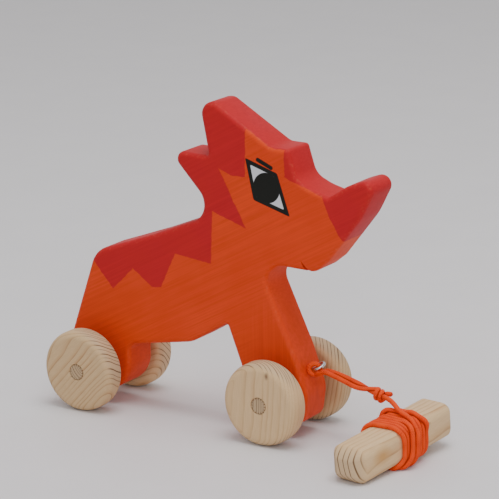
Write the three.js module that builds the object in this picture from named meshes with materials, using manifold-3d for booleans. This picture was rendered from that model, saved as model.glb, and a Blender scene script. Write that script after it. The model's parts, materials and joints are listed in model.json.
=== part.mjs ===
// Wooden pull-along animal: a plank body on two turning axles, four wheels glued to the axle
// ends, a screw eye in the front leg, and a cord tied to it that is wound on a pull handle.
// Millimetres, +Z up, +X towards the nose, +Y to the animal's left, floor at Z = 0.
import * as THREE from 'three';
import { mergeVertices } from 'three/addons/utils/BufferGeometryUtils.js';
import Module from 'manifold-3d';

const wasm = await Module();
wasm.setup();

// ---------- driving dimensions ----------
const WHEELBASE = 130;
const AXLE_HEIGHT = 25;
const OVERALL_WIDTH = 69;
const BOARD_THICKNESS = 25;
const BOARD_EDGE_RADIUS = 3;
const WHEEL_RADIUS = 25;
const WHEEL_WIDTH = 15;
const WHEEL_EDGE_RADIUS = 5;
const AXLE_RADIUS = 5;
const AXLE_FLUTES = 16;
const FLUTE_DEPTH = 0.35;
const GLUE_GAP = 0.3;
const RUNNING_GAP = 0.6;
const FOOT_HEIGHT = 9;

const EYE_WIRE_RADIUS = 0.9;
const EYE_RING_RADIUS = 3.65;
const EYE_STANDOFF = 5.7;
const EYE_TWIST = THREE.MathUtils.degToRad(15);
const SCREW_RADIUS = 1.3;
const SCREW_ROOT_RADIUS = 1.0;
const SCREW_LENGTH = 12;
const THREAD_PITCH = 1.2;
const PILOT_GAP = 0.3;

const CORD_RADIUS = 1.4;
const HANDLE = { length: 91, width: 23, height: 21, cornerRadius: 6, endRadius: 6.2, cordHole: 1.8 };
const WINDING = { start: 33, end: 63, side: 4.8, top: 4.8, bottom: 2, gap: 0.3 };

// The handle's near end stands on the floor and its winding holds the far end up.
const HANDLE_END = new THREE.Vector3(204.7, -62.8, -0.45);
const HANDLE_TILT = THREE.MathUtils.degToRad(4.4);
const HANDLE_YAW = THREE.MathUtils.degToRad(7.7);

// Side view of the animal, clockwise from the heel of the rear leg: x from the rear axle,
// height above the floor, and the radius that rounds the corner.
const BODY_CORNERS = [
  [-20.5, FOOT_HEIGHT, 14], [-21.7, 34.7, 14],                  // heel and back of the rear leg
  [0.2, 96.1, 17], [44, 111.9, 60], [88, 129.7, 11.4],          // rump, back and nape
  [55.1, 165, 4.8], [84.2, 163.8, 2],                           // ear
  [78, 195.9, 7.5], [89.5, 195.9, 6], [127.3, 173.4, 9],        // crest
  [138.9, 173.3, 2.5], [144.4, 155.8, 11],                      // brow
  [154.5, 151.2, 30], [165, 148.5, 2],                          // bridge of the nose
  [178, 157, 40], [199.4, 164.3, 5.6], [186.1, 138.2, 40],      // horn
  [164.1, 110.1, 12], [155.4, 103.1, 8], [117, 104, 10.2],      // chin and throat
  [141, 52.2, 60], [149.4, 28.5, 16], [146.8, FOOT_HEIGHT, 7],  // front of the front leg
  [115.6, FOOT_HEIGHT, 8], [94.8, 63.6, 1.5],                   // back of the front leg
  [69, 48.3, 20], [23.9, 40.2, 5], [24.5, FOOT_HEIGHT, 20],     // belly and rear leg
];
const MOUTH_CUT = [[146.4, 109.3], [150.6, 101.5], [154, 101.5]];

// ---------- materials ----------
const paint = new THREE.MeshStandardMaterial({ color: 0xc8461e, roughness: 0.5, metalness: 0 });
const pine = new THREE.MeshStandardMaterial({ color: 0xd9c3a0, roughness: 0.65, metalness: 0 });
const steel = new THREE.MeshStandardMaterial({ color: 0xb8bcc0, roughness: 0.28, metalness: 1 });
const cordOrange = new THREE.MeshStandardMaterial({ color: 0xe8602c, roughness: 0.85, metalness: 0 });

// ---------- helpers ----------
function toManifold(geometry) {
  const bare = geometry.clone();
  bare.deleteAttribute('normal');
  bare.deleteAttribute('uv');
  const merged = mergeVertices(bare, 1e-4);
  return new wasm.Manifold(new wasm.Mesh({
    numProp: 3,
    vertProperties: new Float32Array(merged.attributes.position.array),
    triVerts: new Uint32Array(merged.index.array),
  }));
}

function fromManifold(solid) {
  const mesh = solid.getMesh();
  const geometry = new THREE.BufferGeometry();
  geometry.setAttribute('position', new THREE.BufferAttribute(new Float32Array(mesh.vertProperties), 3));
  geometry.setIndex(new THREE.BufferAttribute(new Uint32Array(mesh.triVerts), 1));
  geometry.computeVertexNormals();
  return geometry;
}

function cut(geometry, ...tools) {
  const cutOut = (solid, tool) => solid.subtract(toManifold(tool));
  return fromManifold(tools.reduce(cutOut, toManifold(geometry)));
}

function join(geometry, ...others) {
  return fromManifold(others.reduce((solid, other) => solid.add(toManifold(other)), toManifold(geometry)));
}

function named(name, geometry, material) {
  const mesh = new THREE.Mesh(geometry, material);
  mesh.name = name;
  return mesh;
}

// The outline through clockwise corners, drawn inwards by inset, with the same number of
// points at every inset so that two outlines can be joined point by point.
function roundedOutline(corners, inset) {
  const points = [];
  const at = (i) => new THREE.Vector2(...corners[(i + corners.length) % corners.length]);
  for (let i = 0; i < corners.length; i += 1) {
    const corner = at(i);
    const arriving = corner.clone().sub(at(i - 1)).normalize();
    const leaving = at(i + 1).sub(corner).normalize();
    const turn = Math.atan2(arriving.cross(leaving), arriving.dot(leaving));
    const bulges = turn < 0;
    const inwardA = new THREE.Vector2(arriving.y, -arriving.x);
    const inwardB = new THREE.Vector2(leaving.y, -leaving.x);
    const mitre = inwardA.clone().add(inwardB).multiplyScalar(inset / (1 + inwardA.dot(inwardB)));
    const radius = bulges ? Math.max(corners[i][2] - inset, 0.15) : corners[i][2] + inset;
    const toCentre = bulges ? inwardA : inwardA.clone().negate();
    const setback = radius * Math.tan(Math.abs(turn) / 2);
    const start = corner.clone().add(mitre).addScaledVector(arriving, -setback);
    const centre = start.clone().addScaledVector(toCentre, radius);
    const steps = Math.max(2, Math.ceil(Math.abs(turn) / 0.26));
    for (let k = 0; k <= steps; k += 1) {
      points.push(start.clone().rotateAround(centre, (turn * k) / steps));
    }
  }
  return points;
}

// A board with the side view given by corners in the XZ plane, its faces at Y = +-thickness / 2
// and its edges rounded all the way round.
function roundedBoard(corners, thickness, edgeRadius) {
  const rings = [];
  const steps = 3;
  for (let k = 0; k <= steps; k += 1) {
    const angle = (k / steps) * Math.PI / 2;
    rings.push({
      y: -thickness / 2 + edgeRadius * (1 - Math.cos(angle)),
      points: roundedOutline(corners, edgeRadius * (1 - Math.sin(angle))),
    });
  }
  for (let k = steps; k >= 0; k -= 1) rings.push({ y: -rings[k].y, points: rings[k].points });
  const count = rings[0].points.length;
  const positions = rings.flatMap(({ y, points }) => points.flatMap((p) => [p.x, y, p.y]));
  const index = [];
  for (let r = 0; r + 1 < rings.length; r += 1) {
    for (let i = 0; i < count; i += 1) {
      const [a, b] = [r * count + i, r * count + ((i + 1) % count)];
      index.push(a, b, a + count, b, b + count, a + count);
    }
  }
  const last = (rings.length - 1) * count;
  for (const [a, b, c] of THREE.ShapeUtils.triangulateShape(rings[0].points, [])) {
    index.push(a, b, c, last + a, last + c, last + b);
  }
  const geometry = new THREE.BufferGeometry();
  geometry.setAttribute('position', new THREE.Float32BufferAttribute(positions, 3));
  geometry.setIndex(index);
  return geometry;
}

function cylinderAcross(radius, length, segments = 32) {
  return new THREE.CylinderGeometry(radius, radius, length, segments);
}

function cordTube(points, steps) {
  const section = new THREE.Shape();
  section.absarc(0, 0, CORD_RADIUS, 0, 2 * Math.PI);
  return new THREE.ExtrudeGeometry(section, {
    steps,
    curveSegments: 8,
    bevelEnabled: false,
    extrudePath: new THREE.CatmullRomCurve3(points, false, 'centripetal'),
  });
}

// ---------- screw eye frame: origin on the front leg's face, X along the screw ----------
const legLine = [new THREE.Vector2(141, 52.2), new THREE.Vector2(149.4, 28.5)];
const legDirection = legLine[1].clone().sub(legLine[0]).normalize();
const eyeOut = new THREE.Vector3(-legDirection.y, 0, legDirection.x);
const eyeUp = new THREE.Vector3(-eyeOut.z, 0, eyeOut.x);
const EYE_HEIGHT = 41;
const eyeBase = new THREE.Vector3(
  legLine[0].x + ((legLine[0].y - EYE_HEIGHT) * legDirection.x) / -legDirection.y, 0, EYE_HEIGHT,
);
const eyeAcross = new THREE.Vector3(0, 1, 0);
const eyeFrame = new THREE.Matrix4().makeBasis(eyeOut, eyeAcross, eyeUp).setPosition(eyeBase);
const eyePoint = (out, y, up) => new THREE.Vector3(out, y, up).applyMatrix4(eyeFrame);

// ---------- body ----------
function bodyGeometry() {
  const board = roundedBoard(BODY_CORNERS, BOARD_THICKNESS, BOARD_EDGE_RADIUS);
  const holes = [0, WHEELBASE].map((x) => (
    cylinderAcross(AXLE_RADIUS + RUNNING_GAP, 2 * BOARD_THICKNESS).translate(x, 0, AXLE_HEIGHT)
  ));
  const pilot = cylinderAcross(SCREW_RADIUS + PILOT_GAP, SCREW_LENGTH + 6, 16)
    .rotateZ(Math.PI / 2).translate(3 - (SCREW_LENGTH + PILOT_GAP) / 2, 0, 0).applyMatrix4(eyeFrame);
  const mouth = new THREE.ExtrudeGeometry(
    new THREE.Shape(MOUTH_CUT.map(([x, z]) => new THREE.Vector2(x, z))),
    { depth: 2 * BOARD_THICKNESS, bevelEnabled: false },
  ).rotateX(Math.PI / 2).translate(0, BOARD_THICKNESS, 0);
  return cut(board, ...holes, pilot, mouth);
}

// ---------- wheels and axles ----------
function wheelGeometry() {
  const half = WHEEL_WIDTH / 2;
  const bore = AXLE_RADIUS + GLUE_GAP;
  const profile = [new THREE.Vector2(bore, -half)];
  for (const side of [-1, 1]) {
    for (let k = 0; k <= 4; k += 1) {
      const angle = side < 0 ? -Math.PI / 2 + (k * Math.PI) / 8 : (k * Math.PI) / 8;
      profile.push(new THREE.Vector2(
        WHEEL_RADIUS - WHEEL_EDGE_RADIUS + WHEEL_EDGE_RADIUS * Math.cos(angle),
        side * (half - WHEEL_EDGE_RADIUS) + WHEEL_EDGE_RADIUS * Math.sin(angle),
      ));
    }
  }
  profile.push(new THREE.Vector2(bore, half), new THREE.Vector2(bore, -half));
  return new THREE.LatheGeometry(profile, 40);
}

function axleGeometry() {
  const section = new THREE.Shape();
  const corners = AXLE_FLUTES * 4;
  for (let k = 0; k < corners; k += 1) {
    const radius = k % 4 === 0 ? AXLE_RADIUS - FLUTE_DEPTH : AXLE_RADIUS;
    const angle = (k / corners) * 2 * Math.PI;
    section[k === 0 ? 'moveTo' : 'lineTo'](radius * Math.cos(angle), radius * Math.sin(angle));
  }
  section.closePath();
  return new THREE.ExtrudeGeometry(section, { depth: OVERALL_WIDTH, bevelEnabled: false })
    .translate(0, 0, -OVERALL_WIDTH / 2).rotateX(Math.PI / 2);
}

function axleSet(end, x) {
  const set = new THREE.Group();
  set.position.set(x, 0, AXLE_HEIGHT);
  set.add(named(`${end}_axle`, axleGeometry(), pine));
  for (const [side, sign] of [['left', 1], ['right', -1]]) {
    const wheel = named(`${end}_${side}_wheel`, wheelGeometry(), pine);
    wheel.position.y = sign * (OVERALL_WIDTH - WHEEL_WIDTH) / 2;
    set.add(wheel);
  }
  return set;
}

// ---------- screw eye ----------
function screwEyeGeometry() {
  const profile = [new THREE.Vector2(0, EYE_STANDOFF - EYE_RING_RADIUS)];
  profile.push(new THREE.Vector2(EYE_WIRE_RADIUS, EYE_STANDOFF - EYE_RING_RADIUS));
  profile.push(new THREE.Vector2(EYE_WIRE_RADIUS, 0));
  for (let depth = 0.6; depth + THREAD_PITCH < SCREW_LENGTH - 2; depth += THREAD_PITCH) {
    profile.push(new THREE.Vector2(SCREW_ROOT_RADIUS, -depth));
    profile.push(new THREE.Vector2(SCREW_RADIUS, -depth - THREAD_PITCH / 2));
  }
  profile.push(new THREE.Vector2(SCREW_ROOT_RADIUS, -SCREW_LENGTH + 2));
  profile.push(new THREE.Vector2(0, -SCREW_LENGTH));
  const shank = new THREE.LatheGeometry(profile.reverse(), 12).rotateZ(-Math.PI / 2);
  const ring = new THREE.TorusGeometry(EYE_RING_RADIUS, EYE_WIRE_RADIUS, 10, 32)
    .translate(EYE_STANDOFF, 0, 0).rotateX(EYE_TWIST);
  return join(ring, shank).applyMatrix4(eyeFrame);
}

// ---------- handle and the cord wound on it ----------
function boxCorners(width, low, high, radius) {
  const half = width / 2;
  return [[-half, low, radius], [-half, high, radius], [half, high, radius], [half, low, radius]];
}

function handleGeometry() {
  const { length, width, height, cornerRadius, endRadius, cordHole } = HANDLE;
  const section = boxCorners(width, 0, height, cornerRadius);
  const bar = roundedBoard(section, length, endRadius).translate(0, length / 2, 0);
  const hole = cylinderAcross(cordHole, 2 * width, 16).rotateZ(Math.PI / 2);
  hole.translate(0, length / 2, height / 2);
  return cut(bar, hole);
}

function windingGeometry() {
  const { width, height, cornerRadius } = HANDLE;
  const { start, end, side, top, bottom, gap } = WINDING;
  const outer = roundedBoard(
    boxCorners(width + 2 * side, -bottom, height + top, cornerRadius + 3), end - start, CORD_RADIUS,
  );
  const inner = roundedBoard(
    boxCorners(width + 2 * gap, -gap, height + gap, cornerRadius + gap), 2 * (end - start), CORD_RADIUS,
  );
  return cut(outer, inner).translate(0, (start + end) / 2, 0);
}

function handleSet() {
  const set = new THREE.Group();
  set.position.copy(HANDLE_END);
  set.rotation.set(HANDLE_TILT, 0, -HANDLE_YAW, 'ZXY');
  set.add(named('pull_handle', handleGeometry(), pine));
  set.add(named('cord_winding', windingGeometry(), cordOrange));
  return set;
}

// ---------- the cord between the screw eye and the handle ----------
const KNOT = new THREE.Vector3(194, -4, 33.3);
const LANDING = new THREE.Vector3(212, -13, 31.5);
const PIVOT = eyePoint(12.8, 0, -3.5);
const PIVOT_GAP = CORD_RADIUS + 0.3;
const LOOP = { out: 4.1, y: -2.5, up: -0.7, radius: 3.1, facing: THREE.MathUtils.degToRad(34) };

// One bight: the right strand passes below the eye, round its near wire beside the leg, and
// comes down through the eye as the left strand. The loop is an upright circle, turned by its
// facing angle from the eye's own direction.
function bightGeometry() {
  const route = [[12.8 - PIVOT_GAP, -5.7, -3.5], [9, -5.1, -3.8], [6.6, -4.1, -3.9]];
  for (let degrees = 262; degrees >= -8; degrees -= 30) {
    const angle = THREE.MathUtils.degToRad(degrees);
    const across = LOOP.radius * Math.cos(angle);
    route.push([
      LOOP.out + across * Math.cos(LOOP.facing),
      LOOP.y + across * Math.sin(LOOP.facing),
      LOOP.up + LOOP.radius * Math.sin(angle),
    ]);
  }
  route.push([7.1, -1, -2.1], [8.1, -1.6, -3.3], [9.6, -2.1, -3.6], [12.8 - PIVOT_GAP, -2.5, -3.5]);
  return cordTube(route.map((p) => eyePoint(...p)), 36);
}

// One of the two parallel strands that swing with the handle: its rounded end turns about the
// pivot line beside the bight's flat end.
function strandGeometry(startY, endY) {
  const start = PIVOT.clone().setY(startY);
  const end = new THREE.Vector3(KNOT.x - 4.5, endY, KNOT.z + 1.1);
  const middle = start.clone().lerp(end, 0.5).add(new THREE.Vector3(0, 0, -0.5));
  const ball = new THREE.SphereGeometry(CORD_RADIUS, 10, 8).translate(...start);
  return join(cordTube([start, middle, end], 8), ball);
}

function knotGeometry() {
  const direction = KNOT.clone().sub(PIVOT).normalize();
  const turned = new THREE.Quaternion().setFromUnitVectors(new THREE.Vector3(1, 0, 0), direction);
  const ellipsoid = new THREE.SphereGeometry(1, 14, 10).scale(4.2, 3.7, 3.7);
  return ellipsoid.applyQuaternion(turned).translate(...KNOT);
}

function leadGeometry() {
  const along = LANDING.clone().sub(KNOT).normalize();
  return cordTube([KNOT.clone().addScaledVector(along, 4.5), LANDING], 2);
}

// ---------- assembly ----------
const group = new THREE.Group();
group.add(named('animal_body', bodyGeometry(), paint));
group.add(axleSet('rear', 0));
group.add(axleSet('front', WHEELBASE));
group.add(named('screw_eye', screwEyeGeometry(), steel));
group.add(handleSet());
group.add(named('cord_bight', bightGeometry(), cordOrange));
group.add(named('cord_strand_right', strandGeometry(-5.7, -5.6), cordOrange));
group.add(named('cord_strand_left', strandGeometry(-2.5, -2.4), cordOrange));
group.add(named('cord_knot', knotGeometry(), cordOrange));
group.add(named('cord_lead', leadGeometry(), cordOrange));

// The row's origin: on the floor, below the middle of the animal and its handle without the cord.
group.updateMatrixWorld(true);
const dryBox = new THREE.Box3();
group.traverse((object) => {
  if (object.isMesh && !object.name.startsWith('cord_')) dryBox.expandByObject(object, true);
});
const middle = dryBox.getCenter(new THREE.Vector3());
group.position.set(-middle.x, -middle.y, -dryBox.min.z);
group.updateMatrixWorld(true);

export default group;
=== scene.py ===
"""The looks of a wooden pull-along animal: painted board, pine wheels, screw eye, cord and handle."""

import json
import math

import bmesh
import bpy
import numpy as np
from mathutils import Matrix, Vector
from mathutils.geometry import tessellate_polygon


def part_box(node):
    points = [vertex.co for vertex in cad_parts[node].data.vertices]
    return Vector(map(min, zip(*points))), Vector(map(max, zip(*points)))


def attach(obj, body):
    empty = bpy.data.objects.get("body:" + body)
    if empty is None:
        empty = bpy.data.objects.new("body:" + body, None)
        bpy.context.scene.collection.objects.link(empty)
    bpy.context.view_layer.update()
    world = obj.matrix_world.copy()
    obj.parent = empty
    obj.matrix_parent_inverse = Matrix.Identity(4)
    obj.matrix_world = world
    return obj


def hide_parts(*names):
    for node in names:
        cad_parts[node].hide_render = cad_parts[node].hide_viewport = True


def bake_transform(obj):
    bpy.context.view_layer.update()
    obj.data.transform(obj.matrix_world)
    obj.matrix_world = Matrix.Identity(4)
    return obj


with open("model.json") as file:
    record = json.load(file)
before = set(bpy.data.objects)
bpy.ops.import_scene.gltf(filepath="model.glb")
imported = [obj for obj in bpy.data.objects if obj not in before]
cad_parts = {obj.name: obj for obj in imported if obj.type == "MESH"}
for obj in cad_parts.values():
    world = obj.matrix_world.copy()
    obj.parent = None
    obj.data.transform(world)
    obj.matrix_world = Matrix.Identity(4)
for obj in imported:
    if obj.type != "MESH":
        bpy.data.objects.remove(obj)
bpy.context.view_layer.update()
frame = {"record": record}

MM = 0.001

# ---------- the toy's own frame ----------
# Lengths below are millimetres. X runs from the rear axle to the nose, Y is zero in the middle of
# the board, and Z is the height above the floor.
axle_low, axle_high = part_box("rear_axle")
AXLE_CENTRE = (axle_low + axle_high) / 2
TOY_ORIGIN = Vector((AXLE_CENTRE.x, AXLE_CENTRE.y, 0))

WHEELBASE = round((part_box("front_axle")[0].x - axle_low.x) / MM)
AXLE_HEIGHT = AXLE_CENTRE.z / MM
OVERALL_WIDTH = (axle_high.y - axle_low.y) / MM
BOARD_THICKNESS = 25
BOARD_EDGE_RADIUS = 3
WHEEL_RADIUS = 25
WHEEL_WIDTH = 15
WHEEL_EDGE_RADIUS = 5
WHEEL_SEGMENTS = 120
AXLE_RADIUS = 5
AXLE_FLUTES = 16
FLUTE_DEPTH = 0.5
FLUTE_STEPS = 8
AXLE_RECESS = 0.15
AXLE_CHAMFER = 0.5
AXLE_HOLE_RADIUS = 5.6
WHEEL_BORE_RADIUS = 5.04
WHEEL_BORE_BEVEL = 0.4
CUTTER_HALF_LENGTH = 20
LEAST_CORNER_RADIUS = 0.15

EYE_WIRE_RADIUS = 0.9
EYE_RING_RADIUS = 3.65
EYE_STANDOFF = 5.7
EYE_TWIST = math.radians(15)
EYE_HEIGHT = 41
EYE_THREAD_PITCH = 1.2
EYE_THREAD_CORE = 0.95
EYE_THREAD_HEIGHT = 0.35
EYE_THREAD_LENGTH = 10.2

CORD_DIAMETER = 2.8
CORD_RADIUS = CORD_DIAMETER / 2
CORD_SIDES = 24
CORD_CORE = 0.97  # share of the cord's radius
BRAID_HEIGHT = 0.09  # share of the cord's radius
BRAID_LOBES = 4
BRAID_TWIST = 2.2  # radians per millimetre
BAR_LENGTH = 91
BAR_WIDTH = 23
BAR_HEIGHT = 21
BAR_CORNER_RADIUS = 6
BAR_END_RADIUS = 6.2
CORD_HOLE_RADIUS = 1.8
BAR_END = Vector((204.7, -62.8, -0.45))
BAR_TILT = math.radians(4.4)
BAR_YAW = math.radians(7.7)

# Side view of the animal, clockwise from the heel of the rear leg: x, z and the corner's radius.
BODY_CORNERS = [
    (-20.5, 9, 14), (-21.7, 34.7, 14),                        # heel and back of the rear leg
    (0.2, 96.1, 17), (44, 111.9, 60), (88, 129.7, 11.4),      # rump, back and nape
    (55.1, 165, 4.8), (84.2, 163.8, 2),                       # ear
    (78, 195.9, 7.5), (89.5, 195.9, 6), (127.3, 173.4, 9),    # crest
    (138.9, 173.3, 2.5), (144.4, 155.8, 11),                  # brow
    (154.5, 151.2, 30), (165, 148.5, 2),                      # bridge of the nose
    (178, 157, 40), (199.4, 164.3, 5.6), (186.1, 138.2, 40),  # horn
    (164.1, 110.1, 12), (155.4, 103.1, 8), (117, 104, 10.2),  # chin and throat
    (141, 52.2, 60), (149.4, 28.5, 16), (146.8, 9, 7),        # front of the front leg
    (115.6, 9, 8), (94.8, 63.6, 1.5),                         # back of the front leg
    (69, 48.3, 20), (23.9, 40.2, 5), (24.5, 9, 20),           # belly and rear leg
]
MOUTH_CUT = [(146.4, 109.3), (150.6, 101.5), (154, 101.5)]

# Red paint on both flanks: each patch is where a point lies to the left of every one of its lines.
RED_PATCHES = [
    [(0.7, 88.7), (13.6, 74.4), (28.8, 88.7), (28.8, 140)],
    [(28.8, 88.7), (42.3, 79.1), (48.9, 80), (59.6, 102.1), (59.6, 150)],
    [(59.6, 102.1), (85, 99.3), (86.5, 131.3)],
    [(86.5, 131.3), (109.9, 123.6), (91.5, 157.6)],
    [(91.5, 157.6), (99.9, 154.2), (109.8, 154.1), (110.3, 179.2)],
    [(162, 146.6), (166.5, 135.8), (173.7, 125)],
    [(136.3, 175), (136.3, 157.2), (163, 147.4)],
]
CREST_PATCH = [(106, 190), (106, 160), (145, 160)]
EYE_OUTLINE = [(111.7, 164), (116.4, 142.4), (137.9, 136.1), (130.6, 157.9)]
EYE_LINE_WIDTH = 2.5
IRIS_CENTRE = (124.3, 149.5)
IRIS_RADIUS = 9
EYEBROW = [(117.5, 166), (128.6, 161.2)]

# ---------- frames of the screw eye and of the handle ----------
LEG_TOP, LEG_BOTTOM = Vector((141, 0, 52.2)), Vector((149.4, 0, 28.5))
LEG_DOWN = (LEG_BOTTOM - LEG_TOP).normalized()
EYE_OUT = Vector((-LEG_DOWN.z, 0, LEG_DOWN.x))
EYE_UP = Vector((-EYE_OUT.z, 0, EYE_OUT.x))
EYE_BASE = LEG_TOP + LEG_DOWN * ((LEG_TOP.z - EYE_HEIGHT) / -LEG_DOWN.z)
BAR_TURN = Matrix.Rotation(-BAR_YAW, 3, "Z") @ Matrix.Rotation(BAR_TILT, 3, "X")


def on_eye(out, y, up):
    """A point given from the screw eye's place on the leg, in the toy's frame."""
    return EYE_BASE + EYE_OUT * out + Vector((0, y, 0)) + EYE_UP * up


def along_bar(across, along, up):
    """A direction given in the handle's own frame, in the toy's frame."""
    return BAR_TURN @ Vector((across, along, up))


def on_bar(across, along, up):
    """A point given from the handle's near end, in the toy's frame."""
    return along_bar(across, along, up) + BAR_END


def row(point):
    """A point of the toy's frame, in metres in the row frame."""
    return Vector(point) * MM + TOY_ORIGIN


PIVOT = on_eye(12.8, -4, -3.5)
KNOT = Vector((194, -4, 33.3))
ALONG_STRANDS = (KNOT - PIVOT).normalized()


# ---------- camera ----------
def make_camera():
    """The photo's camera, from the front right. Its place and lens are fitted to the wheels, the
    board's outline and the handle."""
    azimuth, elevation, roll = (math.radians(x) for x in (32.67, 15.09, -1.0))
    target, metres_back = (104, 0, 107.4), 1.4812
    back = Vector((
        math.sin(azimuth) * math.cos(elevation),
        -math.cos(azimuth) * math.cos(elevation),
        math.sin(elevation),
    ))
    level = Vector((math.cos(azimuth), math.sin(azimuth), 0))
    upright = back.cross(level)
    right = level * math.cos(roll) + upright * math.sin(roll)
    up = back.cross(right)
    camera = bpy.data.objects.new("camera", bpy.data.cameras.new("camera"))
    camera.data.sensor_width = 36
    camera.data.lens = 182.26
    camera.data.clip_start, camera.data.clip_end = 0.05, 50
    place = row(target) + back * metres_back
    camera.matrix_world = Matrix.Translation(place) @ Matrix((right, up, back)).transposed().to_4x4()
    bpy.context.scene.collection.objects.link(camera)
    bpy.context.scene.camera = camera


# ---------- mesh helpers ----------
def make_piece(name, vertices, faces, material, body, replaced=(), attributes=None):
    """A mesh from points in the toy's frame, smooth but for its sharp edges, riding on a CAD body."""
    mesh = bpy.data.meshes.new(name)
    mesh.from_pydata([row(v) for v in vertices], [], faces)
    mesh.validate()
    for key, values in (attributes or {}).items():
        mesh.attributes.new(key, "FLOAT", "POINT").data.foreach_set("value", values)
    piece = bpy.data.objects.new(name, mesh)
    bpy.context.scene.collection.objects.link(piece)
    mesh.materials.append(material)
    smooth_by_angle(mesh)
    if body:
        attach(piece, body)
    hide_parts(*replaced)
    return piece


def smooth_by_angle(mesh, limit=math.radians(40)):
    """Turns the faces outwards, and shades all edges smooth that bend less than the limit."""
    work = bmesh.new()
    work.from_mesh(mesh)
    bmesh.ops.recalc_face_normals(work, faces=work.faces)
    for face in work.faces:
        face.smooth = True
    for edge in work.edges:
        edge.smooth = len(edge.link_faces) == 2 and edge.calc_face_angle(0) < limit
    work.to_mesh(mesh)
    work.free()


def ring_faces(rings, count, closed=False):
    """Faces between rings of as many points each, listed ring by ring. A closed shape has faces
    between its last ring and its first too."""
    faces = []
    for r in range(rings if closed else rings - 1):
        near, far = r * count, (r + 1) % rings * count
        for i in range(count):
            after = (i + 1) % count
            faces.append((near + i, near + after, far + after, far + i))
    return faces


def rounded_outline(corners, inset, step=math.radians(6)):
    """The outline through clockwise corners, moved inwards by inset, with as many points at any inset."""
    flat = [Vector(c[:2]) for c in corners]
    points = []
    for i, corner in enumerate(flat):
        arriving = (corner - flat[i - 1]).normalized()
        leaving = (flat[(i + 1) % len(flat)] - corner).normalized()
        turn = math.atan2(arriving.x * leaving.y - arriving.y * leaving.x, arriving.dot(leaving))
        inward_a, inward_b = (Vector((d.y, -d.x)) for d in (arriving, leaving))
        mitre = (inward_a + inward_b) * (inset / (1 + inward_a.dot(inward_b)))
        bulges = turn < 0
        radius = max(corners[i][2] - inset, LEAST_CORNER_RADIUS) if bulges else corners[i][2] + inset
        start = corner + mitre - arriving * radius * math.tan(abs(turn) / 2)
        centre = start + (inward_a if bulges else -inward_a) * radius
        steps = max(3, math.ceil(abs(turn) / step))
        for k in range(steps + 1):
            angle = turn * k / steps
            arm = start - centre
            points.append(centre + Vector((
                arm.x * math.cos(angle) - arm.y * math.sin(angle),
                arm.x * math.sin(angle) + arm.y * math.cos(angle),
            )))
    return points


def rounded_board(corners, thickness, edge_radius, place, steps=6, facet=0.0):
    """A board with rounded edges, which facet flattens towards a straight bevel at 1. place turns
    (x, y, z) into the toy's frame. Returns points, faces and how far round its edge each point is,
    from 0 on a flat side to 1 in the middle of the rounding."""
    # The first ring is a little inside the rounding, and keeps the shading of the flat side flat.
    rings = [(-thickness / 2, edge_radius + 0.6, 0)]
    for k in range(steps + 1):
        angle = k / steps * math.pi / 2
        depth = (1 - facet) * (1 - math.cos(angle)) + facet * k / steps
        inset = (1 - facet) * (1 - math.sin(angle)) + facet * (1 - k / steps)
        rings.append((-thickness / 2 + edge_radius * depth, edge_radius * inset, math.sin(2 * angle)))
    rings += [(-y, inset, edge) for y, inset, edge in reversed(rings)]
    outlines = [[(p.x, y, p.y) for p in rounded_outline(corners, inset)] for y, inset, _ in rings]
    count = len(outlines[0])
    vertices = [place(*p) for outline in outlines for p in outline]
    edges = [edge for _, _, edge in rings for _ in range(count)]
    faces = ring_faces(len(rings), count)
    last = (len(rings) - 1) * count
    for a, b, c in tessellate_polygon([[Vector(p) for p in outlines[0]]]):
        faces.append((a, b, c))
        faces.append((last + a, last + c, last + b))
    return vertices, faces, edges


def cut_piece(piece, vertices, faces):
    """Cuts a closed shape, given in the toy's frame, out of a piece."""
    mesh = bpy.data.meshes.new("cutter")
    mesh.from_pydata([row(v) for v in vertices], [], faces)
    cutter = bpy.data.objects.new("cutter", mesh)
    bpy.context.scene.collection.objects.link(cutter)
    work = bmesh.new()
    work.from_mesh(mesh)
    bmesh.ops.recalc_face_normals(work, faces=work.faces)
    work.to_mesh(mesh)
    work.free()
    modifier = piece.modifiers.new("cut", "BOOLEAN")
    modifier.operation = "DIFFERENCE"
    modifier.solver = "EXACT"
    modifier.object = cutter
    evaluated = piece.evaluated_get(bpy.context.evaluated_depsgraph_get())
    piece.data = bpy.data.meshes.new_from_object(evaluated)
    piece.modifiers.clear()
    bpy.data.objects.remove(cutter)
    smooth_by_angle(piece.data)


def prism(outline, half_length, place):
    """A closed prism of an outline of (a, b) points. place turns (a, b, side) into the toy's frame."""
    count = len(outline)
    vertices = [place(a, b, side) for side in (-half_length, half_length) for a, b in outline]
    return vertices, ring_faces(2, count) + [tuple(range(count)), tuple(range(count, 2 * count))]


def circle(radius, count):
    angles = np.linspace(0, 2 * math.pi, count, endpoint=False)
    return [(radius * math.cos(a), radius * math.sin(a)) for a in angles]


def blend_between(time, start, end, first, second):
    """Goes in a straight line from first, at the start time, to second, at the end time."""
    return (end - time) / (end - start) * first + (time - start) / (end - start) * second


def spline(points, step):
    """Points about step apart on a smooth centripetal Catmull-Rom curve through the given points."""
    p = np.array([tuple(x) for x in points], float)
    p = np.vstack([2 * p[0] - p[1], p, 2 * p[-1] - p[-2]])
    made = []
    for i in range(1, len(p) - 2):
        q = p[i - 1:i + 3]
        t = np.concatenate([[0], np.cumsum(np.sqrt(np.linalg.norm(np.diff(q, axis=0), axis=1)))])
        count = max(2, int(np.linalg.norm(q[2] - q[1]) / step * 3))
        s = np.linspace(t[1], t[2], count, endpoint=False)[:, None]
        a = [blend_between(s, t[k], t[k + 1], q[k], q[k + 1]) for k in range(3)]
        b = [blend_between(s, t[k], t[k + 2], a[k], a[k + 1]) for k in range(2)]
        made.append(blend_between(s, t[1], t[2], b[0], b[1]))
    return evenly(np.vstack([*made, p[-2:-1]]), step)


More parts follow.
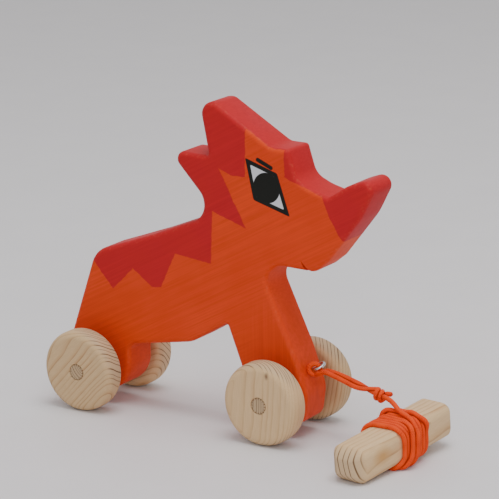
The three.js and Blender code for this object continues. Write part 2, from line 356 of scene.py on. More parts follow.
def run_along(line):
    """The distance along a line to each of its points."""
    return np.concatenate([[0], np.cumsum(np.linalg.norm(np.diff(line, axis=0), axis=1))])


def evenly(line, step):
    """The same line with its points a step apart."""
    run = run_along(line)
    at = np.linspace(0, run[-1], max(2, round(run[-1] / step) + 1))
    return np.stack([np.interp(at, run, line[:, k]) for k in range(3)], 1)


def tube(line, radius_at, sides):
    """A closed tube along a line of even steps. radius_at(distance, angle) gives its radius.
    Returns its points, its faces and the radius at each point."""
    off_all_tangents = (0.31, 0.17, 0.93)
    tangents = np.gradient(line, axis=0)
    tangents /= np.linalg.norm(tangents, axis=1)[:, None]
    side = np.cross(tangents[0], off_all_tangents)
    side /= np.linalg.norm(side)
    angles = np.linspace(0, 2 * math.pi, sides, endpoint=False)
    rings, radii = [], []
    for point, tangent, distance in zip(line, tangents, run_along(line)):
        side = side - tangent * (side @ tangent)
        side /= np.linalg.norm(side)
        other = np.cross(tangent, side)
        radius = radius_at(distance, angles)
        radii.append(radius)
        spokes = np.cos(angles)[:, None] * side + np.sin(angles)[:, None] * other
        rings.append(point + radius[:, None] * spokes)
    end = (len(rings) - 1) * sides
    faces = ring_faces(len(rings), sides)
    faces += [tuple(reversed(range(sides))), tuple(range(end, end + sides))]
    return np.vstack(rings), faces, np.concatenate(radii)


# ---------- material helpers ----------
class Shader:
    """A material's node tree, with short calls for the few kinds of node that are used here.
    place is the point being shaded in the toy's frame, and normal is its direction at rest."""

    def __init__(self, name):
        self.material = bpy.data.materials.new(name)
        self.material.use_nodes = True
        self.tree = self.material.node_tree
        self.surface = self.tree.nodes["Principled BSDF"]
        coordinates = self.tree.nodes.new("ShaderNodeTexCoord").outputs
        offset = self.vector("SUBTRACT", coordinates["Object"], tuple(TOY_ORIGIN))
        self.normal = coordinates["Normal"]
        self.place = self.vector("SCALE", offset, scale=1 / MM)

    def node(self, kind, values, output=0, **settings):
        made = self.tree.nodes.new(kind)
        for key, value in settings.items():
            setattr(made, key, value)
        for key, value in values.items():
            if isinstance(value, bpy.types.NodeSocket):
                self.tree.links.new(value, made.inputs[key])
            elif value is not None:
                made.inputs[key].default_value = value
        return made.outputs[output]

    def math(self, operation, *values):
        return self.node("ShaderNodeMath", dict(enumerate(values)), operation=operation)

    def vector(self, operation, a, b=None, scale=None):
        output = "Value" if operation in ("DOT_PRODUCT", "LENGTH", "DISTANCE") else "Vector"
        values = {0: a, 1: b, "Scale": scale}
        return self.node("ShaderNodeVectorMath", values, output, operation=operation)

    def axes(self, vector):
        made = self.tree.nodes.new("ShaderNodeSeparateXYZ")
        self.tree.links.new(vector, made.inputs[0])
        return made.outputs

    def combine(self, x, y, z):
        return self.node("ShaderNodeCombineXYZ", {0: x, 1: y, 2: z})

    def noise(self, vector, scale, detail=2.0, roughness=0.5):
        values = {"Vector": vector, "Scale": scale, "Detail": detail, "Roughness": roughness}
        return self.node("ShaderNodeTexNoise", values, "Fac")

    def ramp(self, factor, stops):
        made = self.tree.nodes.new("ShaderNodeValToRGB")
        self.tree.links.new(factor, made.inputs[0])
        elements = made.color_ramp.elements
        while len(elements) < len(stops):
            elements.new(0.5)
        for element, (position, colour) in zip(elements, stops):
            element.position = position
            element.color = (*colour, 1)
        return made.outputs["Color"]

    def spread(self, value, low, high, to_low=0.0, to_high=1.0):
        """Maps the stretch from low to high onto the one from to_low to to_high, and stays in it."""
        values = {"Value": value, "From Min": low, "From Max": high, "To Min": to_low, "To Max": to_high}
        return self.node("ShaderNodeMapRange", values, clamp=True)

    def mix(self, factor, a, b):
        made = self.tree.nodes.new("ShaderNodeMix")
        made.data_type = "RGBA"
        for key, value in (("Factor_Float", factor), ("A_Color", a), ("B_Color", b)):
            socket = next(s for s in made.inputs if s.identifier == key)
            if isinstance(value, bpy.types.NodeSocket):
                self.tree.links.new(value, socket)
            else:
                socket.default_value = value if isinstance(value, (int, float)) else (*value, 1)
        return next(s for s in made.outputs if s.identifier == "Result_Color")

    def attribute(self, name):
        return self.node("ShaderNodeAttribute", {}, "Fac", attribute_name=name)

    def bump(self, height, distance, strength=1.0, normal=None):
        values = {"Height": height, "Distance": distance * MM, "Strength": strength, "Normal": normal}
        return self.node("ShaderNodeBump", values, "Normal")

    def finish(self, colour, roughness, normal, **constants):
        """Links what varies over the surface, and sets what doesn't on the shader's own sockets."""
        for key, value in (("Base Color", colour), ("Roughness", roughness), ("Normal", normal)):
            self.tree.links.new(value, self.surface.inputs[key])
        for key, value in constants.items():
            self.surface.inputs[key.replace("_", " ")].default_value = value
        return self.material


def shade(colour, factor):
    """The same colour, darker or lighter by the factor."""
    return tuple(channel * factor for channel in colour)


def left_of_all(shader, place, points, softness=0.0):
    """How far a place is to the left of all the lines from point to point, in millimetres. Softness
    rounds the corners of the patch that they bound."""
    inside = None
    for a, b in zip(points, points[1:]):
        direction = (Vector(b) - Vector(a)).normalized()
        normal = (-direction.y, 0.0, direction.x)
        reach = shader.vector("DOT_PRODUCT", place, normal)
        distance = shader.math("SUBTRACT", reach, a[0] * normal[0] + a[1] * normal[2])
        inside = distance if inside is None else shader.math("SMOOTH_MIN", inside, distance, softness)
    return inside


# ---------- materials ----------
ORANGE = (0.68, 0.055, 0.0093)
RED = (0.475, 0.0133, 0.0188)
CLOUDED_ORANGE = (0.60, 0.040, 0.008)
CLOUDED_RED = (0.50, 0.019, 0.016)
# Worn paint and painted highlight on the board's rounded edges.
WORN_PAINT_AND_HIGHLIGHT = (0.72, 0.16, 0.08)
BLACK = (0.012, 0.013, 0.011)
WHITE = (0.62, 0.64, 0.68)

EARLY_WOOD = (0.71, 0.50, 0.275)
LATE_WOOD = (0.62, 0.385, 0.19)
LATE_WOOD_EDGE = (0.42, 0.21, 0.085)
END_EARLY_WOOD = (0.62, 0.45, 0.27)
END_LATE_WOOD = (0.13, 0.07, 0.035)
FLUTE_SHADOW = (0.17, 0.10, 0.06)

STEEL_DARK = (0.50, 0.51, 0.53)
STEEL_LIGHT = (0.72, 0.73, 0.75)

# Painted shade in the braid's hollows, its middle colour, and painted highlight on its ridges.
CORD_SHADOW = (0.50, 0.020, 0.001)
CORD_MIDDLE = (0.90, 0.068, 0.003)
CORD_HIGHLIGHT = (1.0, 0.15, 0.015)
CORD_THREAD = (0.72, 0.038, 0.002)
CORD_PATCH = (0.97, 0.12, 0.010)
# Painted shade in the grooves between stretches of cord.
CORD_CREVICE_SHADE = (0.20, 0.005, 0.001)

FLOOR_DARK = (0.725, 0.705, 0.72)
FLOOR_LIGHT = (0.745, 0.725, 0.74)


def brush_strokes(s, x, z):
    """Wood and brush marks run up towards the head on the trunk, and down along the front leg."""
    trunk_slope = {"Vector": s.place, "Angle": math.radians(28)}
    slant = s.node("ShaderNodeVectorRotate", trunk_slope, rotation_type="Y_AXIS")
    trunk = s.noise(s.vector("MULTIPLY", slant, (0.02, 0.35, 0.9)), 1.0, 4, 0.6)
    leg = s.noise(s.vector("MULTIPLY", s.place, (0.9, 0.35, 0.02)), 1.0, 4, 0.6)
    on_leg = s.math("MULTIPLY", s.spread(x, 100, 125), s.spread(z, 90, 60))
    return s.node("ShaderNodeMix", {0: on_leg, 2: trunk, 3: leg}, data_type="FLOAT")


def red_areas(s, y):
    """1 where the paint is red: in the patches, and on the top of the head but not on its flanks."""
    flat_half = 11.2
    wobble = s.math("MULTIPLY", s.math("SUBTRACT", s.noise(s.place, 0.3, 2), 0.5), 1.4)
    off_flank = s.math("SUBTRACT", flat_half, s.math("ABSOLUTE", y))
    red = s.math("MINIMUM", left_of_all(s, s.place, CREST_PATCH), off_flank)
    for patch in RED_PATCHES:
        red = s.math("MAXIMUM", red, left_of_all(s, s.place, patch))
    return s.spread(s.math("ADD", red, wobble), -0.25, 0.25)


def eye_areas(s, x, z):
    """How far inside the black and the white of the eye and its brow a place is, on either flank."""
    flat = s.combine(x, 0.0, z)
    half_line = EYE_LINE_WIDTH / 2
    eye = left_of_all(s, flat, [*EYE_OUTLINE, EYE_OUTLINE[0]], softness=1.6)
    off_iris = s.vector("DISTANCE", flat, (IRIS_CENTRE[0], 0, IRIS_CENTRE[1]))
    outside_iris = s.math("SUBTRACT", off_iris, IRIS_RADIUS)
    white = s.math("MINIMUM", s.math("SUBTRACT", eye, half_line), outside_iris)

    brow_start, brow_end = Vector(EYEBROW[0]), Vector(EYEBROW[1])
    middle = (brow_start + brow_end) / 2
    along = (brow_end - brow_start).normalized()
    aside = Vector((-along.y, along.x))
    run = s.vector("DOT_PRODUCT", flat, (along.x, 0, along.y))
    run = s.math("ABSOLUTE", s.math("SUBTRACT", run, middle.dot(along)))
    half_run = (brow_end - brow_start).length / 2 - half_line
    beyond = s.math("MAXIMUM", s.math("SUBTRACT", run, half_run), 0.0)
    off_line = s.vector("DOT_PRODUCT", flat, (aside.x, 0, aside.y))
    off_line = s.math("SUBTRACT", off_line, middle.dot(aside))
    brow = s.math("SUBTRACT", half_line, s.vector("LENGTH", s.combine(beyond, off_line, 0.0)))
    return s.math("MAXIMUM", s.math("ADD", eye, half_line), brow), white


def paint_material():
    s = Shader("painted_board")
    x, y, z = s.axes(s.place)
    strokes = brush_strokes(s, x, z)
    cloud = s.noise(s.place, 0.035, 3)
    stroke_share = s.spread(strokes, 0.3, 0.7)
    cloud_share = s.spread(cloud, 0.35, 0.65, 0, 0.4)
    orange = s.mix(stroke_share, shade(ORANGE, 0.89), shade(ORANGE, 1.1))
    orange = s.mix(cloud_share, orange, CLOUDED_ORANGE)
    crimson = s.mix(stroke_share, shade(RED, 0.9), shade(RED, 1.08))
    crimson = s.mix(cloud_share, crimson, CLOUDED_RED)
    colour = s.mix(red_areas(s, y), orange, crimson)

    # Worn paint and a painted highlight show lighter on the rounded edges.
    scuffs_and_highlight = s.spread(s.noise(s.place, 0.5, 4), 0.52, 0.75, 0, 0.22)
    colour = s.mix(s.math("MULTIPLY", s.attribute("edge"), scuffs_and_highlight), colour, WORN_PAINT_AND_HIGHLIGHT)

    black, white = eye_areas(s, x, z)
    colour = s.mix(s.spread(black, -0.12, 0.12), colour, BLACK)
    colour = s.mix(s.spread(white, -0.12, 0.12), colour, WHITE)

    roughness = s.spread(cloud, 0.3, 0.7, 0.50, 0.60)
    normal = s.bump(strokes, 0.06, 0.4)
    normal = s.bump(s.noise(s.place, 1.2, 3), 0.03, 0.5, normal)
    return s.finish(colour, roughness, normal, Specular_IOR_Level=0.12)


def pine_material(name, grain, pith, ring_width=2.6, tone_and_shade=1.0, warp_size=2.5, wander=2.2, strength=1.0,
                  smear=None, flutes=False):
    """Bare pine. grain is the direction of the tree and pith a point on its middle line. The growth
    rings bend by warp_size, vary in width by wander and stand out by strength. A smear is a soft
    mark: its centre, its scales, which are larger for a smaller mark, its strength and its colour."""
    s = Shader(name)
    axis = Vector(grain).normalized()
    from_pith = s.vector("SUBTRACT", s.place, tuple(pith))
    warp = s.node("ShaderNodeTexNoise", {"Vector": s.place, "Scale": 0.028, "Detail": 2.0}, "Color")
    warp = s.vector("SCALE", s.vector("SUBTRACT", warp, (0.5, 0.5, 0.5)), scale=warp_size)
    warped = s.vector("ADD", from_pith, warp)
    along = s.vector("DOT_PRODUCT", warped, tuple(axis))
    radial = s.vector("SUBTRACT", warped, s.vector("SCALE", tuple(axis), scale=along))
    distance = s.vector("LENGTH", radial)
    uneven = s.noise(s.combine(s.math("MULTIPLY", distance, 0.16), 0.0, 0.0), 1.0, 1)
    ring_count = s.math("ADD", s.math("DIVIDE", distance, ring_width), s.math("MULTIPLY", uneven, wander))
    rings = s.math("FRACT", ring_count)

    # The tone scales the wood's colours: tone that differs from piece to piece, and painted shade on the
    # rear right wheel.
    pale, warm, dark = (shade(wood, tone_and_shade) for wood in (EARLY_WOOD, LATE_WOOD, LATE_WOOD_EDGE))
    end_pale, end_dark = (shade(wood, tone_and_shade) for wood in (END_EARLY_WOOD, END_LATE_WOOD))
    late = s.ramp(rings, [(0, pale), (0.5, pale), (0.82, warm), (0.94, dark), (1, pale)])
    contrast = s.spread(s.noise(s.place, 0.05, 2), 0.35, 0.65, 0.4 * strength, strength)
    colour = s.mix(contrast, pale, late)

    # The rings are crisper and darker on end grain.
    stops = [(0, end_pale), (0.74, end_pale), (0.86, end_dark), (0.94, end_dark), (1, end_pale)]
    facing = s.math("ABSOLUTE", s.vector("DOT_PRODUCT", s.normal, tuple(axis)))
    colour = s.mix(s.spread(facing, 0.45, 0.75), colour, s.ramp(rings, stops))

    stretched = s.vector("SCALE", tuple(axis), scale=s.math("MULTIPLY", along, 0.04))
    fibres = s.noise(s.vector("ADD", radial, stretched), 2.4, 3, 0.65)
    colour = s.mix(s.spread(fibres, 0.35, 0.7, 0, 0.22), colour, dark)
    if flutes:
        colour = s.mix(s.spread(s.attribute("flute"), 0.3, 0.8), colour, FLUTE_SHADOW)
    if smear:
        off_centre = s.vector("SUBTRACT", s.place, tuple(smear["centre"]))
        off_centre = s.vector("MULTIPLY", off_centre, smear["scales"])
        near = s.spread(s.vector("LENGTH", off_centre), 1.0, 0.2)
        colour = s.mix(s.math("MULTIPLY", near, smear["strength"]), colour, smear["colour"])
    roughness = s.spread(fibres, 0.3, 0.7, 0.55, 0.68)
    normal = s.bump(rings, 0.06, 0.5)
    normal = s.bump(fibres, 0.05, 0.5, normal)
    return s.finish(colour, roughness, normal, Specular_IOR_Level=0.25)


def steel_material():
    s = Shader("zinc_plated_wire")
    marks = s.noise(s.place, 1.4, 4, 0.6)
    colour = s.ramp(marks, [(0.3, STEEL_DARK), (0.7, STEEL_LIGHT)])
    return s.finish(colour, s.spread(marks, 0.3, 0.7, 0.18, 0.36), s.bump(marks, 0.02, 0.4), Metallic=1.0)


def cord_material():
    s = Shader("braided_cord")
    relief = s.attribute("relief")
    threads = s.noise(s.place, 6.0, 3, 0.6)
    patches = s.noise(s.place, 0.12, 2)
    # Painted shade and highlight follow the braid's relief: darker in its hollows, lighter on its ridges.
    colour = s.ramp(relief, [(0.0, CORD_SHADOW), (0.5, CORD_MIDDLE), (1.0, CORD_HIGHLIGHT)])
    colour = s.mix(s.spread(threads, 0.35, 0.7, 0, 0.30), colour, CORD_THREAD)
    colour = s.mix(s.spread(patches, 0.4, 0.7, 0, 0.25), colour, CORD_PATCH)
    # Painted shade darkens the cord in the grooves where it lies against itself.
    colour = s.mix(s.math("MULTIPLY", s.attribute("crevice_shade"), 0.75), colour, CORD_CREVICE_SHADE)
    roughness = s.spread(threads, 0.3, 0.7, 0.62, 0.80)
    return s.finish(colour, roughness, s.bump(threads, 0.06, 0.6), Specular_IOR_Level=0.2)


# ---------- pieces ----------
def across_board(x, z, y):
    """Turns a point of an outline in the side view, and its distance across, into the toy's frame."""
    return x, y, z


def make_body():
    vertices, faces, edges = rounded_board(
        BODY_CORNERS, BOARD_THICKNESS, BOARD_EDGE_RADIUS, lambda x, y, z: (x, y, z),
    )
    body = make_piece(
        "painted_body", vertices, faces, paint_material(),
        "toy_body", ["animal_body"], {"edge": edges},
    )
    for axle_x in (0, WHEELBASE):
        hole = [(axle_x + a, AXLE_HEIGHT + b) for a, b in circle(AXLE_HOLE_RADIUS, 64)]
        cut_piece(body, *prism(hole, CUTTER_HALF_LENGTH, across_board))
    cut_piece(body, *prism(MOUTH_CUT, CUTTER_HALF_LENGTH, across_board))
    return body


def around_axle(x, y, radius, angle):
    """A point at a radius and an angle round the axle that is at x."""
    return x + radius * math.cos(angle), y, AXLE_HEIGHT + radius * math.sin(angle)


def wheel_profile():
    """The wheel's section as (radius, offset along the axle) points, from the bore out and back."""
    half, bore, bevel = WHEEL_WIDTH / 2, WHEEL_BORE_RADIUS, WHEEL_BORE_BEVEL
    rim, edge = WHEEL_RADIUS - WHEEL_EDGE_RADIUS, WHEEL_EDGE_RADIUS
    # The points beside the bevel and the rounding keep the shading of the face between them flat.
    face = [(bore, half - bevel), (bore + bevel, half), (bore + 1, half), (rim - 0.6, half)]
    for angle in np.linspace(math.pi / 2, 0, 11):
        face.append((rim + edge * math.cos(angle), half - edge + edge * math.sin(angle)))
    return [(radius, -along) for radius, along in face] + face[::-1]


def make_wheel(end, side, x, sign, material):
    profile = wheel_profile()
    middle = sign * (OVERALL_WIDTH - WHEEL_WIDTH) / 2
    vertices = []
    for i in range(WHEEL_SEGMENTS):
        angle = i / WHEEL_SEGMENTS * 2 * math.pi
        vertices += [around_axle(x, middle + along, radius, angle) for radius, along in profile]
    faces = ring_faces(WHEEL_SEGMENTS, len(profile), closed=True)
    node = f"{end}_{side}_wheel"
    return make_piece(f"{node}_pine", vertices, faces, material, f"{end}_axle_set", [node])


def make_axle(end, x, material):
    """A fluted dowel whose ends are a little chamfered and sit just inside the wheels' faces."""
    count = AXLE_FLUTES * FLUTE_STEPS
    dips = [max(0.0, math.cos(2 * math.pi * (k % FLUTE_STEPS) / FLUTE_STEPS)) ** 2 for k in range(count)]
    section = [(AXLE_RADIUS - FLUTE_DEPTH * dip, k / count * 2 * math.pi) for k, dip in enumerate(dips)]

    # Rings at one end, as distance from the middle, scale and whether the flutes show dark there.
    half = OVERALL_WIDTH / 2 - AXLE_RECESS
    end_rings = [(half, 0.74, 0), (half, 0.9, 1), (half - AXLE_CHAMFER, 1.0, 1)]
    rings = [(-y, scale, dark) for y, scale, dark in end_rings] + end_rings[::-1]
    vertices = []
    for y, scale, _ in rings:
        vertices += [around_axle(x, y, radius * scale, angle) for radius, angle in section]
    flutes = [dip * dark for _, _, dark in rings for dip in dips]
    last = (len(rings) - 1) * count
    faces = ring_faces(len(rings), count) + [tuple(range(count)), tuple(range(last, last + count))]
    return make_piece(
        f"{end}_axle_dowel", vertices, faces, material,
        f"{end}_axle_set", [f"{end}_axle"], {"flute": flutes},
    )


def make_screw_eye():
    """Bent wire: a threaded shank in the leg, and a ring whose end closes on the neck."""
    route = [on_eye(out, 0, 0) for out in (-12, -8, -4, 0, 0.9)]
    route.append(on_eye(1.6, -0.6, -0.15))
    for degrees in range(210, 526, 15):
        out = EYE_STANDOFF + EYE_RING_RADIUS * math.cos(math.radians(degrees))
        across = EYE_RING_RADIUS * math.sin(math.radians(degrees))
        route.append(on_eye(out, across * math.cos(EYE_TWIST), across * math.sin(EYE_TWIST)))
    line = spline(route, 0.18)
    length = run_along(line)[-1]

    # The shank's point tapers, its thread runs out into the plain wire, and the wire's end is rounded.
    def radius_at(distance, angle):
        turn = (distance / EYE_THREAD_PITCH - angle / (2 * math.pi)) % 1
        ridge = np.maximum(0, 1 - 3.2 * np.abs(turn - 0.5))
        point = min(1.0, 0.25 + distance / 2.5)
        threaded = (EYE_THREAD_CORE + EYE_THREAD_HEIGHT * ridge) * point
        plain = min(1.0, max(0.0, (distance - EYE_THREAD_LENGTH) / 0.6))
        tip = max(0.3, min(1.0, math.sqrt(max(0.0, (length - distance) / 0.7))))
        return (threaded * (1 - plain) + EYE_WIRE_RADIUS * plain) * tip

    vertices, faces, _ = tube(line, radius_at, 20)
    return make_piece(
        "screw_eye_wire", vertices, faces, steel_material(), "toy_body", ["screw_eye"],
    )


def make_handle(material):
    """A bar with rounded edges and ends, and a cross hole for the cord's start."""
    half = BAR_WIDTH / 2
    corners = [(-half, 0), (-half, BAR_HEIGHT), (half, BAR_HEIGHT), (half, 0)]
    corners = [(*c, BAR_CORNER_RADIUS) for c in corners]
    vertices, faces, edges = rounded_board(
        corners, BAR_LENGTH, BAR_END_RADIUS, lambda x, y, z: on_bar(x, y + BAR_LENGTH / 2, z),
        steps=8, facet=0.65,
    )
    handle = make_piece(
        "pull_handle_bar", vertices, faces, material, "pull_lead", ["pull_handle"], {"edge": edges},
    )
    hole = [(BAR_LENGTH / 2 + a, BAR_HEIGHT / 2 + b) for a, b in circle(CORD_HOLE_RADIUS, 32)]
    cut_piece(handle, *prism(hole, CUTTER_HALF_LENGTH, lambda along, up, across: on_bar(across, along, up)))
    return handle


# ---------- the cord's route ----------
SETTLING_STEP = 1.3
CORD_STEP = 0.45

# The cord's two strands between the knot and the screw eye: out to the eye, and back from it.
STRAND_OUT = [(189, -3.4, 34.2), (180, -3.2, 37.7), (171, -3.0, 40.1), (164, -2.7, 41.5)]
STRAND_BACK = [(164, -5.5, 40.6), (171, -5.4, 38.5), (180, -5.3, 36.0)]

# The bight round the eye's wire, given from the eye's place on the leg.
BIGHT_START = [(12.8, -2.5, -3.5), (9.6, -2.1, -3.6), (8.1, -1.6, -3.3), (7.1, -1, -2.1)]
BIGHT_END = [(6.6, -4.1, -3.9), (9, -5.1, -3.8), (12.8, -5.7, -3.5)]
BIGHT_CENTRE = (4.1, -2.5, -0.7)
BIGHT_RADIUS = 3.1
BIGHT_FACING = math.radians(34)

KNOT_TURNS = 2
KNOT_FIRST_TURN = -0.35
KNOT_RADIUS = 2.55
KNOT_LENGTH = 5.6

# Where the cord lies along the bar at each quarter turn, in order from the hole: on the side that
# faces the animal, below, on the outer side and on top.
WINDING_TURNS = [
    (44.0, 43.0, 45.0, 42.0),
    (39.5, 39.0, 43.0, 40.0),
    (36.0, 36.0, 41.0, 37.5),
    (33.8, 36.5, 43.5, 46.0),
    (46.5, 45.0, 47.0, 48.5),
    (49.5, 47.5, 50.0, 52.5),
    (53.5, 51.0, 53.0, 56.5),
    (58.0, 54.5, 56.5, 60.0),
    (60.5, 56.5, 59.5, 55.0),
    (50.0, 44.0, 47.5, 52.5),
]


def around_bar(turn, along, lift):
    """A point outside the bar: turn 0 is its top, 0.25 the side facing the animal, 0.5 its underside."""
    angle = 2 * math.pi * turn
    half_width, half_height, corner = BAR_WIDTH / 2, BAR_HEIGHT / 2, BAR_CORNER_RADIUS
    direction = Vector((-math.sin(angle), math.cos(angle)))
    reach = min(
        (half_width + lift) / max(abs(direction.x), 1e-6),
        (half_height + lift) / max(abs(direction.y), 1e-6),
    )
    point = direction * reach
    inner = Vector((
        max(-half_width + corner, min(half_width - corner, point.x)),
        max(-half_height + corner, min(half_height - corner, point.y)),
    ))
    arm = point - inner
    if arm.length > corner + lift:
        point = inner + arm.normalized() * (corner + lift)
    return Vector((point.x, along, point.y + half_height))


def winding_route():
    """The turns before they settle, each further out than the one before, in the bar's frame."""
    stations = [u for turn in WINDING_TURNS for u in turn]
    per_quarter = 8
    growth_per_turn = 0.95
    points = []
    for k in range((len(stations) - 1) * per_quarter + 1):
        quarter = k / per_quarter
        i = min(int(quarter), len(stations) - 2)
        share = quarter - i
        share = share * share * (3 - 2 * share)
        along = stations[i] * (1 - share) + stations[i + 1] * share
        lift = CORD_RADIUS + growth_per_turn * quarter / 4
        points.append(around_bar(0.25 + quarter / 4, along, lift))
    return points


def push_out_of_bar(points):
    """Moves points in the bar's frame out of the bar, to a cord's radius from it."""
    half_width, half_height = BAR_WIDTH / 2, BAR_HEIGHT / 2
    flat = points[:, [0, 2]] - (0, half_height)
    limit = np.array([half_width, half_height]) - BAR_CORNER_RADIUS
    outside = flat - np.clip(flat, -limit, limit)
    distance = np.linalg.norm(outside, axis=1)
    reach = BAR_CORNER_RADIUS + CORD_RADIUS
    inside = (distance < reach) & (distance > 1e-6)
    push = outside[inside] * ((reach - distance[inside]) / distance[inside])[:, None]
    points[inside, 0] += push[:, 0]
    points[inside, 2] += push[:, 1]


def push_apart(points, near=4, share=0.22):
    """Moves any two stretches of the cord that lie in each other apart, by a share of their overlap
    each. Points that are near in the cord's own order are left alone."""
    gaps = points[:, None] - points[None]
    distance = np.sqrt((gaps ** 2).sum(2))
    order = np.arange(len(points))
    close = (distance < CORD_DIAMETER) & (np.abs(order[:, None] - order[None]) > near)
    a, b = np.nonzero(close)
    lengths = np.maximum(distance[a, b], 1e-3)
    push = gaps[a, b] * (share * (CORD_DIAMETER - lengths) / lengths)[:, None]
    np.add.at(points, a, push)


def settle(points, wound, rounds=220, last_rounds=50):
    """Pulls the winding tight: the cord shortens, and rests on the bar, on the floor and on itself.
    The first points, as many as wound says, are drawn towards the bar until the last rounds."""
    narrowing = 0.997
    turn = np.array(BAR_TURN)
    start = points.copy()
    for k in range(rounds):
        before = points.copy()
        tight = k < rounds - last_rounds
        straightening, holding = (0.35, 0.05) if tight else (0.06, 0.01)
        points[1:-1] += straightening * ((points[:-2] + points[2:]) / 2 - points[1:-1])
        points[:, 1] += holding * (start[:, 1] - points[:, 1])
        if tight:
            points[:wound, 0] *= narrowing
            points[:wound, 2] = BAR_HEIGHT / 2 + narrowing * (points[:wound, 2] - BAR_HEIGHT / 2)
        for _ in range(3):
            push_apart(points)
            push_out_of_bar(points)
        height = points @ turn[2] + BAR_END.z
        points += np.outer(np.maximum(0, CORD_RADIUS - height), turn[2])
        points[:2], points[-2:] = before[:2], before[-2:]
    return points


def bight_route():
    """Down below the eye, round its near wire beside the leg, and back through the eye."""
    out, y, up = BIGHT_CENTRE
    loop = []
    for degrees in range(-8, 263, 30):
        across = BIGHT_RADIUS * math.cos(math.radians(degrees))
        rise = BIGHT_RADIUS * math.sin(math.radians(degrees))
        loop.append((out + across * math.cos(BIGHT_FACING), y + across * math.sin(BIGHT_FACING), up + rise))
    return [on_eye(*p) for p in [*BIGHT_START, *loop, *BIGHT_END]]


def knot_route():
    """The cord's end, wrapped twice round the standing cord and pulled out as a short tail."""
    towards_handle = Vector((0.835, 0.14, -0.531))
    along = (ALONG_STRANDS * 0.6 + towards_handle * 0.4).normalized()
    side = along.cross(Vector((0, 0, 1))).normalized()
    up = side.cross(along)
    steps = 24
    points = []
    for k in range(steps + 1):
        angle = 2 * math.pi * (KNOT_FIRST_TURN + k / steps * KNOT_TURNS)
        arm = side * math.cos(angle) - up * math.sin(angle)
        points.append(KNOT + along * (KNOT_LENGTH * (k / steps - 0.5)) + arm * KNOT_RADIUS)
    end = points[-1]
    points += [end + along * 1.6 + up * 0.9 + side * 0.2, end + along * 3.6 + up * 1.6 + side * 0.3]
    return points


def cord_route():
    """The whole cord from the handle's hole to its tail, in the toy's frame."""
    inside_hole = [Vector((across, BAR_LENGTH / 2 - 1.5, BAR_HEIGHT / 2)) for across in (-3, -7)]
    turns = evenly(np.array([tuple(p) for p in winding_route()]), SETTLING_STEP)
    knot = BAR_TURN.transposed() @ (KNOT - BAR_END)
    lead = evenly(np.array([turns[-1], tuple(knot)]), SETTLING_STEP)[1:]
    wound = settle(np.vstack([turns, lead]), len(turns))
    points = [on_bar(*p) for p in [*inside_hole, *wound[2:]][::2]]
    points += [KNOT, *(Vector(p) for p in STRAND_OUT)]
    points += bight_route()
    points += [Vector(p) for p in STRAND_BACK]
    return points + knot_route()


def crevices(line, vertices):
    """How deep each point of the tube lies in a groove between stretches of cord, from 0 to 1: its painted
    shade.
    """
    steps_apart = 8
    gaps = np.linalg.norm(line[:, None] - line[None], axis=2)
    order = np.arange(len(line))
    near = (gaps < 1.5 * CORD_DIAMETER) & (np.abs(order[:, None] - order[None]) > steps_apart)
    depth = np.zeros((len(line), CORD_SIDES))
    for ring in np.nonzero(near.any(1))[0]:
        points = vertices[ring * CORD_SIDES:(ring + 1) * CORD_SIDES]
        distance = np.linalg.norm(points[:, None] - line[near[ring]][None], axis=2).min(1)
        depth[ring] = np.clip(1 - (distance - CORD_RADIUS) / (0.55 * CORD_RADIUS), 0, 1)
    return depth.ravel()


def make_cord():
    line = spline(cord_route(), CORD_STEP)
    length = run_along(line)[-1]

    # Two sets of strands cross over each other, and the tail's end is sealed to a blunt tip.
    def radius_at(distance, angle):
        one_way = np.sin(BRAID_LOBES * angle + BRAID_TWIST * distance)
        other_way = np.sin(BRAID_LOBES * angle - BRAID_TWIST * distance)
        end = min(1.0, max(0.35, math.sqrt(max(0.0, (length - distance) / 0.9))))
        return CORD_RADIUS * (CORD_CORE + BRAID_HEIGHT * np.abs(one_way * other_way)) * end

    vertices, faces, radii = tube(line, radius_at, CORD_SIDES)
    # How far each point stands out of the braid, which sets its painted shade and highlight.
    relief = np.clip((radii / CORD_RADIUS - CORD_CORE) / BRAID_HEIGHT, 0, 1)
    cord = make_piece(
        "pull_cord", vertices, faces, cord_material(), None,
        frame["record"]["physics"]["cord_nodes"],
        {"relief": relief, "crevice_shade": crevices(line, vertices)},
    )
    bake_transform(cord)
    return cord


# ---------- floor and light ----------
def make_floor():
    mesh = bpy.data.meshes.new("floor")
    half = 12
    corners = [(-half, -half, 0), (half, -half, 0), (half, half, 0), (-half, half, 0)]
    mesh.from_pydata(corners, [], [(0, 1, 2, 3)])
    floor = bpy.data.objects.new("floor", mesh)
    bpy.context.scene.collection.objects.link(floor)
    s = Shader("studio_floor")
    speckle = s.noise(s.place, 0.02, 3)
    colour = s.ramp(speckle, [(0.3, FLOOR_DARK), (0.7, FLOOR_LIGHT)])
    roughness = s.spread(speckle, 0.3, 0.7, 0.55, 0.6)
    mesh.materials.append(s.finish(colour, roughness, s.bump(speckle, 0.02, 0.1), Specular_IOR_Level=0.15))


def make_area_light(name, place, size, power):
    """A round softbox at a place in metres, turned towards the middle of the toy."""
    middle = Vector((0, 0, 0.08))
    light = bpy.data.lights.new(name, "AREA")
    light.shape = "DISK"
    light.size = size
    light.energy = power
    lamp = bpy.data.objects.new(name, light)
    lamp.location = place
    lamp.rotation_euler = (middle - Vector(place)).to_track_quat("-Z", "Y").to_euler()
    bpy.context.scene.collection.objects.link(lamp)


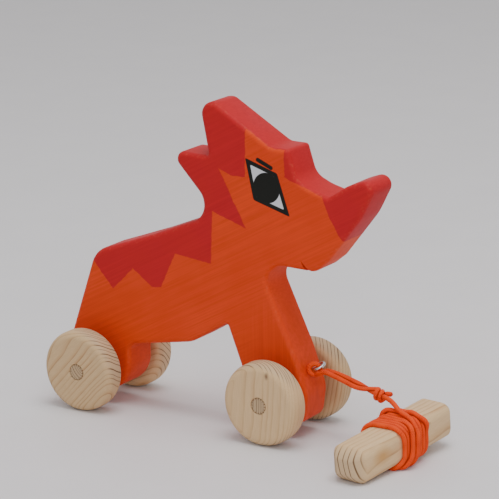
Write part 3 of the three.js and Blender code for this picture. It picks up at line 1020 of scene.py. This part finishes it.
def make_world():
    """A plain room. The backdrop, behind and to the left of the animal, is brighter than the rest."""
    world = bpy.data.worlds.new("studio")
    world.use_nodes = True
    nodes, links = world.node_tree.nodes, world.node_tree.links
    towards = nodes.new("ShaderNodeVectorMath")
    towards.operation = "DOT_PRODUCT"
    towards.inputs[1].default_value = (-0.5, 0.866, 0)
    links.new(nodes.new("ShaderNodeTexCoord").outputs["Generated"], towards.inputs[0])
    strength = nodes.new("ShaderNodeMapRange")
    for key, value in (("From Min", 0.2), ("From Max", 0.9), ("To Min", 0.54), ("To Max", 0.95)):
        strength.inputs[key].default_value = value
    links.new(towards.outputs["Value"], strength.inputs["Value"])
    links.new(strength.outputs[0], nodes["Background"].inputs["Strength"])
    nodes["Background"].inputs["Color"].default_value = (1, 0.99, 0.99, 1)
    bpy.context.scene.world = world


# ---------- the whole scene ----------
# How each wooden piece is cut out of its plank. The front right wheel has a small knot, and the
# handle a brown mark.
DOWEL_CUT = dict(grain=(0, 1, 0), pith=(9, 0, 32), ring_width=1.6, tone_and_shade=0.82, flutes=True)
WHEEL_CUTS = {
    # The rear right wheel's darker tone is painted shade, for the light falling off towards the rear.
    "rear_right": dict(grain=(0.735, 0.08, 0.67), pith=(-14, -13, 41), ring_width=2.3, tone_and_shade=0.91),
    "rear_left": dict(grain=(0.9, 0.1, 0.35), pith=(20, 90, 90), ring_width=2.4, tone_and_shade=1.1),
    "front_right": dict(
        grain=(0.03, 0.02, 1), pith=(90, -130, 25), ring_width=1.9, strength=0.6,
        smear=dict(
            centre=(136, -34.5, 44), scales=(0.6, 0.6, 0.35), strength=0.9, colour=(0.20, 0.11, 0.06),
        ),
    ),
    "front_left": dict(grain=(0.1, 0.1, 1), pith=(213, 82, 20), ring_width=2.2, tone_and_shade=0.9, warp_size=0.8),
}
HANDLE_CUT = dict(
    grain=along_bar(0.03, 1, 0.02), pith=on_bar(60, 0, 23), ring_width=3.3, tone_and_shade=1.04, wander=0.7,
    smear=dict(
        centre=on_bar(11, 20.5, 12.5), scales=(0.12, 0.10, 0.16), strength=0.8, colour=(0.56, 0.29, 0.09),
    ),
)

make_camera()
make_cord()
make_body()
dowel_pine = pine_material("dowel_pine", **DOWEL_CUT)
for end, x in (("rear", 0), ("front", WHEELBASE)):
    make_axle(end, x, dowel_pine)
    for side, sign in (("left", 1), ("right", -1)):
        wheel_pine = pine_material(f"pine_{end}_{side}", **WHEEL_CUTS[f"{end}_{side}"])
        make_wheel(end, side, x, sign, wheel_pine)
make_screw_eye()
make_handle(pine_material("pine_handle", **HANDLE_CUT))
make_floor()
make_world()
make_area_light("overhead_softbox", (0.3, -0.1, 1.7), 1.2, 21)
make_area_light("front_softbox", (1.0, -1.35, 0.9), 1.0, 7)
